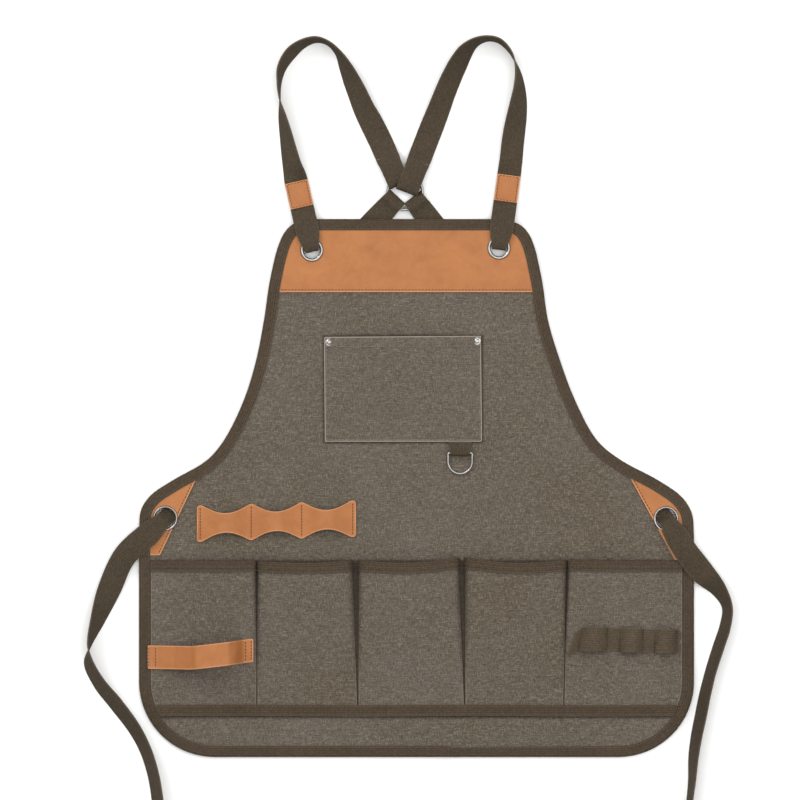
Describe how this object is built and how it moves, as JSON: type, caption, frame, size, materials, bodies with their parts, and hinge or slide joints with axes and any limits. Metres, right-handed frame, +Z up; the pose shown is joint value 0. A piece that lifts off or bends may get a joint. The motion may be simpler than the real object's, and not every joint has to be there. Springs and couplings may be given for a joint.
{
  "type": "gardening apron",
  "caption": "Canvas bib apron laid flat, with leather trim, a chest pocket, a row of tool pockets, tool loops and crossed webbing straps with waist ties.",
  "frame": {"origin": "middle of the bounding box, on the surface that the apron lies on", "axes": "+Z up from the surface, out of the front of the apron; +Y from the hem towards the straps; +X to the right as seen from the front"},
  "size_m": [0.687, 0.8292, 0.0362],
  "materials": {
    "canvas": "matt waxed canvas, speckled",
    "binding": "matt twill tape",
    "leather": "satin, oiled",
    "webbing": "matt ribbed webbing",
    "metal": "nickel plated, satin"
  },
  "bodies": {
    "apron": {"main_panel": "canvas", "edge_binding": "binding", "chest_band": "leather", "side_patch_left": "leather", "side_patch_right": "leather", "chest_eyelet_left": "metal", "chest_eyelet_right": "metal", "side_eyelet_left": "metal", "side_eyelet_right": "metal", "chest_pocket": "canvas", "pocket_rivet_left": "metal", "pocket_rivet_right": "metal", "ring_tab": "webbing", "loop_strip": "leather", "handle_loop": "leather", "pocket_far_left": "canvas", "pocket_left": "canvas", "pocket_middle": "canvas", "pocket_right": "canvas", "pocket_far_right": "canvas", "mouth_tape_far_left": "binding", "mouth_tape_left": "binding", "mouth_tape_middle": "binding", "mouth_tape_right": "binding", "mouth_tape_far_right": "binding", "base_tape": "binding", "loop_band": "webbing", "shoulder_strap_left": "webbing", "shoulder_strap_right": "webbing", "strap_keeper_left": "leather", "strap_keeper_right": "leather", "cross_ring": "metal", "waist_strap_left": "webbing", "waist_strap_right": "webbing"},
    "d_ring": {"d_ring": "metal"}
  },
  "joints": [
    {"name": "d_ring_swing", "type": "hinge", "parent": "apron", "child": "d_ring", "pos_m": [0.05513, -0.0272, 0.0077], "axis": [-1, 0, 0], "range_deg": [0, 140]}
  ]
}
